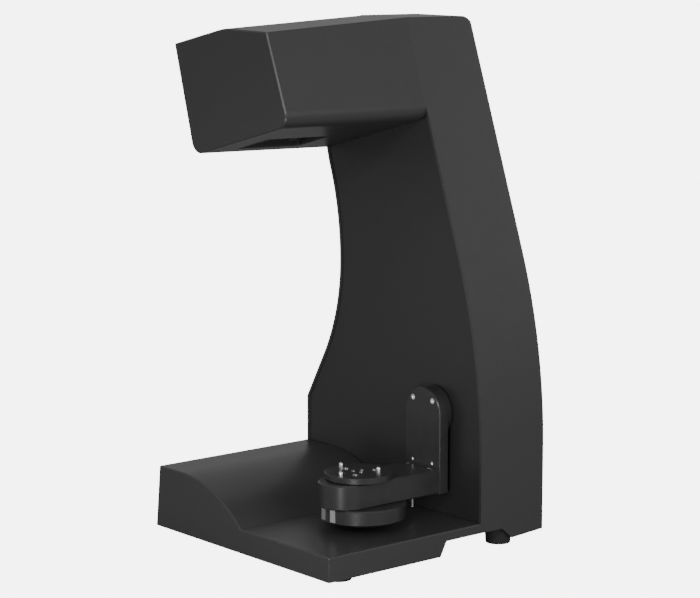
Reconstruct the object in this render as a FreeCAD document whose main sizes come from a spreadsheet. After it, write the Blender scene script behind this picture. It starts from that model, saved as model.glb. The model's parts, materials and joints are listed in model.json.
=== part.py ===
import FreeCAD, Part
import Sketcher
import math
import os

# Desktop 3D scanner. Millimetres, X to the right, Y to the rear, Z up.
# The origin is on the resting plane, under the middle of the object's box.

SIZES = {
    # Casing
    "base_width": 262.0,
    "base_depth": 182.3,
    "column_depth": 82.0,
    "casing_height": 486.8,
    "foot_drop": 4.0,
    "wall": 3.0,
    "rear_wall": 4.0,
    "edge_round": 1.5,
    "front_round": 1.2,
    "fit_gap": 0.3,
    "seat_gap": 0.05,
    "overrun": 1.0,
    # Base with its low deck on the right and its hump on the left
    "deck_height": 22.8,
    "deck_width": 128.0,
    "hump_height": 59.8,
    "hump_run_share": 0.7216,
    "side_lean": 6.5,
    "notch_height": 13.75,
    "notch_start": 132.2,
    "notch_front_run": 7.3,
    "notch_end": 222.9,
    "notch_rear_run": 13.2,
    "heel_rise": 2.8,
    "rear_rise": 5.3,
    "post_radius": 4.0,
    "post_inset": 11.0,
    "post_front": 61.0,
    "post_spacing": 80.0,
    # Base plate, feet and their screws
    "plate_drop": 14.0,
    "plate_thickness": 2.0,
    "plate_corner": 4.0,
    "foot_top_radius": 13.15,
    "foot_bottom_radius": 11.75,
    "foot_inset": 17.0,
    "foot_front": 25.0,
    "foot_spacing": 195.6,
    "foot_recess": 9.0,
    "clinch_radius": 5.0,
    "clinch_height": 3.5,
    "m4_radius": 1.95,
    "m4_head_radius": 3.5,
    "m4_head_height": 2.6,
    "m4_socket_radius": 1.7,
    "m3_radius": 1.45,
    "m3_head_radius": 2.7,
    "m3_head_height": 2.0,
    "m3_socket_radius": 1.4,
    "m2_radius": 0.95,
    "m2_head_radius": 1.8,
    "m2_head_height": 1.2,
    "m2_socket_radius": 0.9,
    # Column, a tall C in outline
    "side_rise": 84.0,
    "side_radius": 560.0,
    "lean_angle": 19.2,
    "shoulder_drop": 0.8,
    "crest_offset": 41.0,
    "eave_drop": 21.8,
    "jaw_inset": 26.6,
    "jaw_drop": 114.9,
    "jaw_round": 18.0,
    "mouth_inset": 37.4,
    "mouth_drop": 127.2,
    "waist_inset": 58.4,
    "waist_height_share": 0.6277,
    "upper_waist_radius": 280.0,
    "upper_waist_share": 0.86,
    "lower_waist_radius": 196.0,
    "lower_waist_share": 0.6979,
    "knee_height_share": 0.1498,
    "rear_round": 3.0,
    "brow_round": 12.0,
    "ledge_width": 5.0,
    "ledge_thickness": 2.5,
    "panel_recess": 1.0,
    "panel_thickness": 3.0,
    "panel_lap": 6.0,
    # Head, which reaches forward over the deck
    "head_length": 159.3,
    "nose_bevel": 1.2,
    "nose_eave_inset": 7.1,
    "nose_eave_drop": 25.6,
    "nose_crest_offset": 46.9,
    "nose_crest_drop": 9.3,
    "nose_right_offset": 16.6,
    "nose_right_drop": 11.0,
    "nose_lip_offset": 48.0,
    "nose_lip_drop": 93.0,
    "nose_chin_inset": 36.1,
    "nose_chin_drop": 128.7,
    "lip_drop": 92.2,
    "chin_drop": 131.8,
    "lip_round": 12.0,
    "chin_round": 12.5,
    "crest_round": 60.0,
    # Optics window in the head's underside
    "window_centre_inset": 86.0,
    "window_setback": 91.0,
    "window_width": 50.0,
    "window_length": 76.0,
    "window_corner": 4.0,
    "bezel_lap": 5.0,
    "bezel_flange": 2.0,
    "bezel_wall": 2.0,
    "projector_window_width": 35.0,
    "projector_window_length": 31.0,
    "projector_window_offset": 3.0,
    "camera_window_width": 22.0,
    "camera_window_length": 16.0,
    "camera_window_offset": -4.0,
    "glass_thickness": 2.0,
    # Optics carried by the head frame
    "head_frame_lift": 45.0,
    "head_frame_width": 64.0,
    "head_frame_reach": 46.0,
    "head_frame_flange": 30.0,
    "sheet_thickness": 3.0,
    "projector_width": 50.0,
    "projector_length": 32.0,
    "projector_height": 36.0,
    "projector_corner": 4.0,
    "projector_lens_radius": 13.0,
    "projector_lens_length": 28.0,
    "camera_spacing": 54.0,
    "camera_width": 26.0,
    "camera_length": 20.0,
    "camera_height": 32.0,
    "camera_lens_radius": 8.0,
    "camera_lens_length": 25.0,
    "lens_rim": 2.0,
    "lens_depth": 3.0,
    # Column frame, a sheet that stands on the base plate
    "frame_setback": 20.7,
    "frame_margin": 12.0,
    "frame_waist_margin": 10.4,
    "frame_foot": 25.0,
    "frame_top_drop": 30.8,
    "frame_head_drop": 90.8,
    "frame_neck_drop": 120.8,
    "frame_head_inset": 32.0,
    # Swing axle and its drive
    "arm_inset": 64.0,
    "swing_height": 119.9,
    "hub_clearance": 1.0,
    "hub_thickness": 4.5,
    "hub_radius": 24.5,
    "shaft_radius": 6.0,
    "shaft_passage": 8.0,
    "swing_module": 1.2,
    "gear_thickness": 8.0,
    "gear_gap": 3.2,
    "gear_hub_radius": 12.0,
    "gear_hub_length": 3.0,
    "backlash": 0.25,
    "pressure_angle": 20.0,
    "addendum_share": 0.85,
    "dedendum_share": 1.2,
    "flank_foot_share": 0.6,
    "flank_middle_share": 0.2,
    "bearing_radius": 14.0,
    "bearing_width": 8.0,
    "bearing_groove": 0.6,
    "barrel_radius": 18.0,
    "barrel_length": 32.0,
    "barrel_flange_radius": 22.0,
    "barrel_flange": 4.0,
    "barrel_bore": 11.0,
    "collar_radius": 11.0,
    "collar_length": 5.0,
    "motor_width": 42.3,
    "motor_length": 34.0,
    "motor_corner": 5.0,
    "motor_spigot_radius": 11.0,
    "motor_spigot": 2.0,
    "motor_shaft_radius": 2.5,
    "motor_hole_spacing": 31.0,
    "barrel_hole_radius": 18.8,
    "barrel_hole_angle": 45.0,
    # Bracket and arm that swing together
    "arm_width": 48.2,
    "arm_reach": 119.6,
    "arm_drop": 50.2,
    "arm_height": 23.2,
    "arm_wall": 3.0,
    "arm_bevel": 1.2,
    "arm_floor_thickness": 2.0,
    "bracket_thickness": 10.3,
    "bracket_drop": 73.8,
    "bracket_bevel": 0.8,
    "channel_width": 16.0,
    "channel_depth": 5.0,
    "channel_top_drop": 28.0,
    "channel_bottom_drop": 60.0,
    "cover_thickness": 2.0,
    "cover_margin": 4.0,
    "hub_screw_spacing": 27.0,
    "hub_screw_rise": 13.0,
    "bracket_screw_drop": 46.4,
    "mount_screw_drop": 58.0,
    "mount_screw_spacing": 32.0,
    "top_screw_spacing": 29.3,
    "top_screw_inset": 5.2,
    "index_pin_radius": 1.2,
    "index_pin_length": 15.0,
    "index_pin_inset": 12.5,
    # Round drive housing under the arm
    "housing_radius": 40.3,
    "housing_setback": 21.3,
    "housing_wall_drop": 13.0,
    "housing_drop": 21.0,
    "dome_radius": 95.0,
    "housing_shell": 2.0,
    "cap_thickness": 2.2,
    "clip_width": 6.0,
    "clip_length": 12.0,
    "clip_thickness": 0.8,
    "clip_angle": 100.0,
    "clip_step": 19.0,
    # Turning platform and its drive
    "platform_radius": 31.5,
    "platform_thickness": 5.7,
    "platform_gap": 0.4,
    "platform_setback": 17.2,
    "platform_bevel": 0.5,
    "platform_shaft_radius": 4.0,
    "platform_shaft_grip": 3.0,
    "platform_bearing_radius": 8.0,
    "platform_bearing_width": 5.0,
    "boss_wall": 3.0,
    "boss_depth": 6.0,
    "platform_module": 0.96,
    "platform_gear_lift": 4.5,
    "platform_gear_thickness": 6.0,
    "platform_motor_radius": 10.0,
    "platform_motor_height": 10.8,
    "platform_motor_shaft_radius": 1.5,
    "platform_motor_bore": 4.0,
    "platform_screw_circle": 15.6,
    "platform_screw_turn": 188.0,
    "centre_screw_circle": 5.0,
    "platform_head_lift": 0.4,
    "pin_radius": 2.0,
    "pin_height": 4.0,
    "pin_shank_radius": 1.5,
    "pin_seat": 3.0,
    "pin_groove": 0.4,
    "pin_pair_back": 16.2,
    "pin_pair_side": 18.0,
    "pin_single": 18.2,
    "pin_turn": 50.0,
    # Rear cover with its sockets and switch
    "cover_width": 130.0,
    "cover_height": 150.0,
    "cover_lift": 26.0,
    "cover_offset": 20.0,
    "cover_corner": 6.0,
    "rear_cover_thickness": 2.0,
    "cover_ledge": 6.0,
    "cover_screw_inset": 3.2,
    "slot_width_share": 0.4923,
    "slot_height": 3.0,
    "slot_pitch": 7.0,
    "slot_drop": 20.0,
    "socket_height": 24.0,
    "inlet_offset_share": 0.2769,
    "inlet_width": 27.0,
    "inlet_height": 19.0,
    "inlet_flange": 3.5,
    "inlet_depth": 20.0,
    "inlet_cavity_width": 24.0,
    "inlet_cavity_height": 16.0,
    "inlet_cavity_depth": 16.0,
    "blade_width": 2.0,
    "blade_height": 4.0,
    "blade_length": 10.0,
    "blade_spacing": 7.0,
    "blade_rise": 2.0,
    "usb_offset_share": 0.0462,
    "usb_width": 12.0,
    "usb_height": 11.0,
    "usb_flange": 3.0,
    "usb_depth": 16.0,
    "usb_cavity_width": 8.5,
    "usb_cavity_height": 7.8,
    "usb_cavity_depth": 9.0,
    "tongue_width": 5.6,
    "tongue_height": 3.2,
    "tongue_length": 4.5,
    "switch_offset_share": 0.2923,
    "switch_width": 14.0,
    "switch_height": 21.0,
    "switch_depth": 15.0,
    "switch_flange": 3.0,
    "rocker_width": 10.4,
    "rocker_height": 15.0,
    "rocker_depth": 5.0,
    "rocker_angle": 8.0,
    "rocker_setback": 6.5,
    "rocker_well": 2.4,
    "rocker_hub_radius": 2.4,
    "rocker_pin_radius": 1.0,
    # Control board under the hump
    "board_length": 110.0,
    "board_width_share": 0.6588,
    "board_thickness": 1.6,
    "board_inset": 16.0,
    "board_front": 22.0,
    "standoff_radius": 3.0,
    "standoff_height": 6.0,
    "standoff_inset": 5.0,
    "chip_width": 26.0,
    "chip_height": 7.0,
    "header_width": 8.0,
    "header_height": 9.0,
}

# Counts of what repeats
SWING_GEAR_TEETH = 60
SWING_PINION_TEETH = 15
PLATFORM_GEAR_TEETH = 40
PLATFORM_PINION_TEETH = 10
VENT_SLOTS = 9

V = FreeCAD.Vector
doc = FreeCAD.newDocument("desktop_3d_scanner")
sheet = doc.addObject("Spreadsheet::Sheet", "sizes")
pieces = []


# Sizes that carry both their value and their formula

class Size:
    """A length, angle or share with its value and the formula that binds it to the sheet."""

    def __init__(self, value, text):
        self.value = value
        self.text = text

    def __add__(self, other):
        return joined(self, "+", other)

    def __sub__(self, other):
        return joined(self, "-", other)

    def __mul__(self, other):
        return joined(self, "*", other)

    def __truediv__(self, other):
        return joined(self, "/", other)

    def __radd__(self, other):
        return joined(other, "+", self)

    def __rsub__(self, other):
        return joined(other, "-", self)

    def __rmul__(self, other):
        return joined(other, "*", self)

    def __neg__(self):
        return Size(-self.value, "(-%s)" % self.text)


def size(number):
    """A plain number as a Size, and a Size as it is."""
    if isinstance(number, Size):
        return number
    return Size(float(number), repr(float(number)))


def joined(first, sign, second):
    """Two sizes added, subtracted, multiplied or divided, values and formulas alike."""
    first = size(first)
    second = size(second)
    text = "(%s %s %s)" % (first.text, sign, second.text)
    if sign == "+":
        return Size(first.value + second.value, text)
    if sign == "-":
        return Size(first.value - second.value, text)
    if sign == "*":
        return Size(first.value * second.value, text)
    return Size(first.value / second.value, text)


def root(number):
    return Size(math.sqrt(number.value), "sqrt(%s)" % number.text)


def sine(angle):
    angle = size(angle)
    return Size(math.sin(math.radians(angle.value)), "sin(%s)" % angle.text)


def cosine(angle):
    angle = size(angle)
    return Size(math.cos(math.radians(angle.value)), "cos(%s)" % angle.text)


def slope_angle(rise, run):
    """The angle, in degrees, of a slope."""
    return Size(math.degrees(math.atan2(rise.value, run.value)), "atan2(%s; %s)" % (rise.text, run.text))


class Sizes:
    """The cells of the sheet, each one as a Size under its own name."""


s = Sizes()
for row, (name, value) in enumerate(SIZES.items(), 1):
    sheet.set("A%d" % row, name)
    sheet.set("B%d" % row, str(value))
    sheet.setAlias("B%d" % row, name)
    setattr(s, name, Size(value, "sizes." + name))
doc.recompute()
nought = size(0)


# Bodies, sketches and features

def bind(thing, path, length):
    thing.setExpression(path, length.text)


def place(thing, x, y, z, turn=None, axis=V(0, 1, 0)):
    """Put a body at a bound place, turned about an axis by a bound angle."""
    thing.Placement = FreeCAD.Placement(V(0, 0, 0), FreeCAD.Rotation(axis, turn.value if turn else 0))
    bind(thing, "Placement.Base.x", size(x))
    bind(thing, "Placement.Base.y", size(y))
    bind(thing, "Placement.Base.z", size(z))
    if turn:
        bind(thing, "Placement.Rotation.Angle", turn)


def new_body(name):
    body = doc.addObject("PartDesign::Body", name)
    body.Label = name
    body.AllowCompound = True
    pieces.append(body)
    return body


def corner(x, y, bend=None, arc=None):
    """A corner of an outline, rounded by bend, or with an arc of a radius to the next corner."""
    return {"x": size(x), "y": size(y), "bend": bend, "arc": arc}


def disc(x, y, radius):
    return {"x": size(x), "y": size(y), "radius": size(radius)}


def box(x0, x1, y0, y1, bend=None):
    """A rectangle between two limits each way."""
    return [corner(x0, y0, bend), corner(x1, y0, bend), corner(x1, y1, bend), corner(x0, y1, bend)]


def new_sketch(body, role, level):
    """A sketch on one of the body's own planes, moved along the axis that the plane crosses."""
    plane = [item for item in body.Origin.OriginFeatures if item.Role == role][0]
    sketch = body.newObject("Sketcher::SketchObject", body.Name + "_sketch")
    sketch.AttachmentSupport = [(plane, "")]
    sketch.MapMode = "FlatFace"
    level = size(level)
    bind(sketch, "AttachmentOffset.Base.z", -level if role == "XZ_Plane" else level)
    return sketch


def fix(sketch, kind, label, length, *where):
    """One bound dimension of a sketch."""
    dimension = Sketcher.Constraint(kind, *where, length.value)
    dimension.Name = label
    sketch.addConstraint(dimension)
    bind(sketch, "Constraints." + label, length)


def arc_through(start, end, radius):
    """An arc between two corners, anticlockwise for a radius above zero."""
    x0, y0, x1, y1 = start["x"].value, start["y"].value, end["x"].value, end["y"].value
    chord = math.hypot(x1 - x0, y1 - y0)
    height = math.copysign(math.sqrt(radius * radius - chord * chord / 4), radius)
    middle_x = (x0 + x1) / 2 - (y1 - y0) / chord * height
    middle_y = (y0 + y1) / 2 + (x1 - x0) / chord * height
    first = math.atan2(y0 - middle_y, x0 - middle_x)
    last = math.atan2(y1 - middle_y, x1 - middle_x)
    circle = Part.Circle(V(middle_x, middle_y, 0), V(0, 0, 1), abs(radius))
    if radius > 0:
        return Part.ArcOfCircle(circle, first, last), (1, 2)
    return Part.ArcOfCircle(circle, last, first), (2, 1)


def draw_loop(sketch, corners, tag):
    """A closed outline of lines and arcs with every corner bound to the sheet."""
    first = sketch.GeometryCount
    count = len(corners)
    ends = []
    for here, start in enumerate(corners):
        end = corners[(here + 1) % count]
        if start["arc"]:
            edge, order = arc_through(start, end, start["arc"].value)
        else:
            here_at = V(start["x"].value, start["y"].value, 0)
            edge = Part.LineSegment(here_at, V(end["x"].value, end["y"].value, 0))
            order = (1, 2)
        sketch.addGeometry(edge)
        ends.append(order)
    for here, start in enumerate(corners):
        edge = first + here
        after = (here + 1) % count
        meet = Sketcher.Constraint("Coincident", edge, ends[here][1], first + after, ends[after][0])
        sketch.addConstraint(meet)
        fix(sketch, "DistanceX", "x_%s_%d" % (tag, here), start["x"], -1, 1, edge, ends[here][0])
        fix(sketch, "DistanceY", "y_%s_%d" % (tag, here), start["y"], -1, 1, edge, ends[here][0])
        if start["arc"]:
            radius = start["arc"] if start["arc"].value > 0 else -start["arc"]
            fix(sketch, "Radius", "arc_%s_%d" % (tag, here), radius, edge)
    for here, start in enumerate(corners):
        if start["bend"]:
            sketch.fillet(first + here, 1, start["bend"].value, True, True)
            fix(sketch, "Radius", "bend_%s_%d" % (tag, here), start["bend"], sketch.GeometryCount - 2)


def draw(body, role, level, loops):
    """A sketch that holds outlines (lists of corners) and discs."""
    sketch = new_sketch(body, role, level)
    for tag, loop in enumerate(loops):
        if isinstance(loop, list):
            draw_loop(sketch, loop, "l%d" % tag)
        else:
            centre = V(loop["x"].value, loop["y"].value, 0)
            index = sketch.addGeometry(Part.Circle(centre, V(0, 0, 1), loop["radius"].value))
            fix(sketch, "DistanceX", "x_d%d" % tag, loop["x"], -1, 1, index, 3)
            fix(sketch, "DistanceY", "y_d%d" % tag, loop["y"], -1, 1, index, 3)
            fix(sketch, "Radius", "radius_d%d" % tag, loop["radius"], index)
    return sketch


def pad(body, role, low, high, *loops):
    """Material between two levels along the plane's axis."""
    sketch = draw(body, role, low, loops)
    feature = body.newObject("PartDesign::Pad", body.Name + "_pad")
    feature.Profile = sketch
    bind(feature, "Length", size(high) - low)
    feature.Reversed = role == "XZ_Plane"
    doc.recompute()
    return feature


def cut(body, role, low, high, *loops):
    """An opening between two levels along the plane's axis, which has to take material away."""
    before = body.Tip.Shape.Volume
    sketch = draw(body, role, low, loops)
    feature = body.newObject("PartDesign::Pocket", body.Name + "_pocket")
    feature.Profile = sketch
    bind(feature, "Length", size(high) - low)
    feature.Reversed = role != "XZ_Plane"
    doc.recompute()
    if feature.Shape.isNull() or not feature.Shape.Volume < before:
        raise RuntimeError("a pocket of %s cuts nothing" % body.Name)
    return feature


def turn(body, role, corners, axis):
    """A full turn of an outline about one of its sketch's axes."""
    sketch = draw(body, role, nought, [corners])
    feature = body.newObject("PartDesign::Revolution", body.Name + "_turn")
    feature.Profile = sketch
    feature.ReferenceAxis = (sketch, [axis])
    feature.Angle = 360
    doc.recompute()
    return feature


def loft(body, kind, *sketches):
    """A straight-sided loft through sketches, added or taken away."""
    feature = body.newObject("PartDesign::" + kind, body.Name + "_loft")
    feature.Profile = sketches[0]
    feature.Sections = list(sketches[1:])
    feature.Ruled = True
    doc.recompute()
    return feature


def edges_where(feature, test):
    return ["Edge%d" % (index + 1) for index, edge in enumerate(feature.Shape.Edges) if test(edge)]


def dress(body, kind, feature, names, length):
    """A fillet or chamfer on named edges of a feature."""
    dressing = body.newObject("PartDesign::" + kind, body.Name + "_" + kind.lower())
    dressing.Base = (feature, names)
    path = "Radius" if kind == "Fillet" else "Size"
    setattr(dressing, path, length.value)
    bind(dressing, path, length)
    doc.recompute()
    return dressing


def at_level(edge, axis, level):
    """Whether an edge lies flat in the plane of a level across an axis."""
    low = getattr(edge.BoundBox, axis + "Min")
    high = getattr(edge.BoundBox, axis + "Max")
    near = 0.001
    return abs(low - level.value) < near and abs(high - level.value) < near


def screws(name, role, head_level, outward, grip, places, kind):
    """Socket screws of one kind as a group of separate solids, heads outward of a level."""
    head = getattr(s, kind + "_head_height")
    radius = getattr(s, kind + "_radius")
    head_radius = getattr(s, kind + "_head_radius")
    socket = getattr(s, kind + "_socket_radius")
    body = new_body(name)
    heads = [disc(x, y, head_radius) for x, y in places]
    shanks = [disc(x, y, radius) for x, y in places]
    sockets = [hexagon(x, y, socket) for x, y in places]
    if outward > 0:
        pad(body, role, head_level, head_level + head, *heads)
        pad(body, role, head_level - grip, head_level, *shanks)
        cut(body, role, head_level + head / 2, head_level + head, *sockets)
    else:
        pad(body, role, head_level - head, head_level, *heads)
        pad(body, role, head_level, head_level + grip, *shanks)
        cut(body, role, head_level - head, head_level - head / 2, *sockets)
    return body


def hexagon(x, y, radius):
    """A six-sided outline round a place."""
    return [corner(x + radius * cosine(60 * step), y + radius * sine(60 * step)) for step in range(6)]


def direction(start, end):
    """The unit direction from one point to another."""
    run = end[0] - start[0]
    rise = end[1] - start[1]
    length = root(run * run + rise * rise)
    return run / length, rise / length


def inset_corner(before, here, after, gap):
    """A corner of an anticlockwise outline, moved inward by a gap from both of its edges."""
    ux, uy = direction(before, here)
    vx, vy = direction(here, after)
    reach = gap / (1 + ux * vx + uy * vy)
    return here[0] - (uy + vy) * reach, here[1] + (ux + vx) * reach


def moved_in(here, along, gap):
    """A point moved inward by a gap, square to a direction of an anticlockwise outline."""
    return here[0] - along[1] * gap, here[1] + along[0] * gap


# Places that the pieces share

half = s.base_width / 2
front = -(s.base_depth + s.column_depth) / 2
seam = front + s.base_depth
rear = seam + s.column_depth
ground = s.foot_drop
top = ground + s.casing_height
deck = ground + s.deck_height
hump_top = ground + s.hump_height
plate_bottom = ground + s.plate_drop
plate_top = plate_bottom + s.plate_thickness

hump_drop = s.hump_height - s.deck_height
hump_foot_x = half - s.deck_width
left_width = s.base_width - s.deck_width - s.side_lean
hump_run = left_width * s.hump_run_share
hump_crest_x = hump_foot_x - hump_run
hump_radius = (hump_run * hump_run + hump_drop * hump_drop) / (2 * hump_drop)

arm_x = half - s.arm_inset
swing_z = ground + s.swing_height
hub_back = seam - s.hub_clearance
hub_front = hub_back - s.hub_thickness
arm_back = hub_front - s.bracket_thickness
arm_end_y = arm_back - s.arm_reach + s.arm_width / 2
arm_top = swing_z - s.arm_drop
arm_bottom = arm_top - s.arm_height
platform_y = arm_end_y + s.platform_setback
platform_low = arm_top + s.platform_gap
platform_top = platform_low + s.platform_thickness
housing_y = arm_end_y + s.housing_setback

panel_front = seam + s.panel_recess
panel_back = panel_front + s.panel_thickness
frame_front = seam + s.frame_setback
frame_back = frame_front + s.sheet_thickness
rear_inside = rear - s.rear_wall


# Outlines of the casing

def side_foot_x(gap, low):
    """Where the leaning left side, moved inward by a gap, meets a level below the hump's top."""
    return gap - half + s.side_lean * (low - ground) / s.hump_height


def base_outline(gap, low):
    """The base from the front, moved inward by a gap, down to a level."""
    inner_radius = hump_radius - gap
    run = root(2 * inner_radius * hump_drop - hump_drop * hump_drop)
    return [
        corner(half - gap, low),
        corner(half - gap, deck - gap),
        corner(hump_crest_x + run, deck - gap, arc=inner_radius),
        corner(hump_crest_x, hump_top - gap),
        corner(s.side_lean - half + gap, hump_top - gap),
        corner(side_foot_x(gap, low), low),
    ]


side_centre_x = half - s.side_radius
side_z = ground + s.side_rise
lean = sine(s.lean_angle) / cosine(s.lean_angle)
waist_x = s.waist_inset - half
mouth_z = top - s.mouth_drop
mouth_rise = mouth_z - hump_top
waist_z = hump_top + mouth_rise * s.waist_height_share
knee_z = hump_top + mouth_rise * s.knee_height_share
upper_rise = (mouth_z - waist_z) * s.upper_waist_share
lower_drop = (waist_z - knee_z) * s.lower_waist_share


def side_point(gap):
    """Where the column's long side arc ends and its straight lean begins."""
    radius = s.side_radius - gap
    return side_centre_x + radius * cosine(s.lean_angle), side_z + radius * sine(s.lean_angle)


def side_x(gap, level):
    """The column's right side at a level above its arc."""
    x, z = side_point(gap)
    return x - (level - z) * lean


def waist_end(gap, radius, rise, upward):
    """Where one of the two waist arcs ends, a rise away from the narrowest level."""
    reach = root(radius * radius - rise * rise)
    grown = (radius + gap) / radius
    centre_x = waist_x - radius
    z = waist_z + rise * grown if upward else waist_z - rise * grown
    return centre_x + reach * grown, z


def column_outline(gap, low, lowered=nought):
    """The column from the front, a tall C, moved inward by a gap, down to a level, its top lowered."""
    eave = (lowered * s.jaw_inset / (s.jaw_drop - s.eave_drop) - half, top - s.eave_drop - lowered)
    crest = (-s.crest_offset, top - lowered)
    jaw = (s.jaw_inset - half, top - s.jaw_drop)
    mouth = (s.mouth_inset - half, mouth_z)
    upper = waist_end(nought, s.upper_waist_radius, upper_rise, True)
    lower = waist_end(nought, s.lower_waist_radius, lower_drop, False)
    knee = (s.side_lean - half, knee_z)
    hip = (s.side_lean - half, hump_top)
    inner_eave = inset_corner(crest, eave, jaw, gap)
    inner_jaw = moved_in(jaw, direction(eave, jaw), gap)
    inner_mouth = moved_in(mouth, direction(mouth, upper), gap)
    inner_upper = waist_end(gap, s.upper_waist_radius, upper_rise, True)
    inner_lower = waist_end(gap, s.lower_waist_radius, lower_drop, False)
    inner_knee = inset_corner(lower, knee, hip, gap)
    shoulder_z = top - s.shoulder_drop - lowered - gap
    return [
        corner(half - gap, low),
        corner(half - gap, side_z, arc=s.side_radius - gap),
        corner(*side_point(gap)),
        corner(side_x(gap, shoulder_z), shoulder_z),
        corner(-s.crest_offset, top - lowered - gap),
        corner(*inner_eave),
        corner(*inner_jaw, arc=s.jaw_round - gap),
        corner(*inner_mouth),
        corner(*inner_upper, arc=-(s.upper_waist_radius + gap)),
        corner(waist_x + gap, waist_z, arc=-(s.lower_waist_radius + gap)),
        corner(*inner_lower),
        corner(*inner_knee),
        corner(s.side_lean - half + gap, hump_top),
        corner(side_foot_x(gap, low), low),
    ]


nose = front + s.base_depth - s.head_length
nose_chin = (s.nose_chin_inset - half, top - s.nose_chin_drop)
nose_lip = (s.nose_lip_offset, top - s.nose_lip_drop)
chin_z = top - s.chin_drop
chin_x = (s.chin_drop - s.eave_drop) * s.jaw_inset / (s.jaw_drop - s.eave_drop) - half
lip_z = top - s.lip_drop
lip_x = side_x(nought, lip_z)


def head_section(points, gap):
    """A section of the head, moved inward by a gap, with its two lower corners and its crest rounded."""
    bends = (None, s.chin_round - gap, s.lip_round - gap, None, s.crest_round - gap)
    corners = []
    for index, here in enumerate(points):
        after = points[(index + 1) % len(points)]
        x, z = inset_corner(points[index - 1], here, after, gap)
        corners.append(corner(x, z, bends[index]))
    return corners


nose_points = [
    (s.nose_eave_inset - half, top - s.nose_eave_drop),
    nose_chin,
    nose_lip,
    (s.nose_right_offset, top - s.nose_right_drop),
    (-s.nose_crest_offset, top - s.nose_crest_drop),
]
neck_points = [
    (-half, top - s.eave_drop),
    (chin_x, chin_z),
    (lip_x, lip_z),
    (side_x(nought, top - s.shoulder_drop), top - s.shoulder_drop),
    (-s.crest_offset, top),
]

# The optics look out square to the underside, and their axis points at the platform.

window_x = s.window_centre_inset - half
window_y = front + s.window_setback
nose_slope = (nose_lip[1] - nose_chin[1]) / (nose_lip[0] - nose_chin[0])
neck_slope = (lip_z - chin_z) / (lip_x - chin_x)
nose_level = nose_chin[1] + (window_x - nose_chin[0]) * nose_slope
neck_level = chin_z + (window_x - chin_x) * neck_slope
window_share = (window_y - nose) / s.head_length
window_z = nose_level + (neck_level - nose_level) * window_share
underside_tilt = -slope_angle(nose_slope, size(1))
aim_tilt = -slope_angle(arm_x - window_x, window_z - platform_top)


# Casing

def base_shell():
    body = new_body("base_shell")
    outline = base_outline(nought, ground)
    outline[1]["bend"] = s.edge_round
    outline[4]["bend"] = s.edge_round
    solid = pad(body, "XZ_Plane", front, seam, outline)
    rim = edges_where(solid, lambda edge: at_level(edge, "Y", front) and not at_level(edge, "Z", ground))
    dress(body, "Fillet", solid, rim, s.front_round)
    cut(body, "XZ_Plane", front + s.wall, seam + s.overrun, base_outline(s.wall, ground - s.overrun))
    notch_low = ground - s.overrun
    start = front + s.notch_start
    cut(body, "YZ_Plane", -half - s.overrun, half + s.overrun, [
        corner(start, notch_low),
        corner(seam + s.overrun, notch_low),
        corner(seam + s.overrun, ground + s.notch_height),
        corner(start + s.notch_front_run, ground + s.notch_height),
        corner(start, ground),
    ])
    deck_posts = [disc(x, y, s.post_radius) for x, y in deck_post_places()]
    hump_posts = [disc(x, y, s.post_radius) for x, y in hump_post_places()]
    pad(body, "XY_Plane", plate_top, deck - s.wall / 2, *deck_posts)
    pad(body, "XY_Plane", plate_top, hump_top - s.wall / 2, *hump_posts)
    holes = [disc(x, y, s.m3_radius + s.seat_gap) for x, y in deck_post_places() + hump_post_places()]
    cut(body, "XY_Plane", plate_top - s.overrun, plate_top + s.clinch_height - s.overrun, *holes)


def deck_post_places():
    x = half - s.post_inset
    return [(x, front + s.post_front), (x, front + s.post_front + s.post_spacing)]


def hump_post_places():
    x = s.post_inset + s.side_lean - half
    return [(x, front + s.post_front), (x, front + s.post_front + s.post_spacing)]


def foot_places():
    right = half - s.foot_inset
    left = side_foot_x(s.foot_inset, plate_bottom)
    y = front + s.foot_front
    return [(left, y), (right, y), (left, y + s.foot_spacing), (right, y + s.foot_spacing)]


def frame_screw_places():
    y = frame_back + s.frame_foot / 2
    return [(-half / 4, y), (half / 4, y), (half - half / 4, y)]


board_width = left_width * s.board_width_share


def board_places():
    x0 = s.side_lean - half + s.board_inset + s.standoff_inset
    x1 = x0 + board_width - 2 * s.standoff_inset
    y0 = front + s.board_front + s.standoff_inset
    y1 = y0 + s.board_length - 2 * s.standoff_inset
    return [(x0, y0), (x1, y0), (x0, y1), (x1, y1)]


def base_plate():
    body = new_body("base_plate")
    inside = half - s.wall - s.fit_gap
    left = side_foot_x(s.wall + s.fit_gap, plate_top)
    pad(body, "XY_Plane", plate_bottom, plate_top, box(
        left, inside, front + s.wall + s.fit_gap, rear_inside - s.fit_gap, s.plate_corner))
    clinches = [disc(x, y, s.clinch_radius) for x, y in foot_places()]
    pad(body, "XY_Plane", plate_top, plate_top + s.clinch_height, *clinches)
    low = plate_bottom - s.overrun
    high = plate_top + s.clinch_height + s.overrun
    wide = [disc(x, y, s.m4_radius + s.seat_gap) for x, y in foot_places() + frame_screw_places()]
    narrow = [disc(x, y, s.m3_radius + s.seat_gap)
              for x, y in deck_post_places() + hump_post_places() + board_places()]
    cut(body, "XY_Plane", low, high, *wide, *narrow)


def feet():
    body = new_body("feet")
    places = foot_places()
    for x, y in places:
        bottom = draw(body, "XY_Plane", nought, [disc(x, y, s.foot_bottom_radius)])
        upper = draw(body, "XY_Plane", plate_bottom, [disc(x, y, s.foot_top_radius)])
        loft(body, "AdditiveLoft", bottom, upper)
    recesses = [disc(x, y, s.m4_head_radius + s.fit_gap) for x, y in places]
    holes = [disc(x, y, s.m4_radius + s.seat_gap) for x, y in places]
    cut(body, "XY_Plane", -s.overrun, s.foot_recess, *recesses)
    cut(body, "XY_Plane", s.foot_recess - s.overrun, plate_bottom + s.overrun, *holes)


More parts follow.
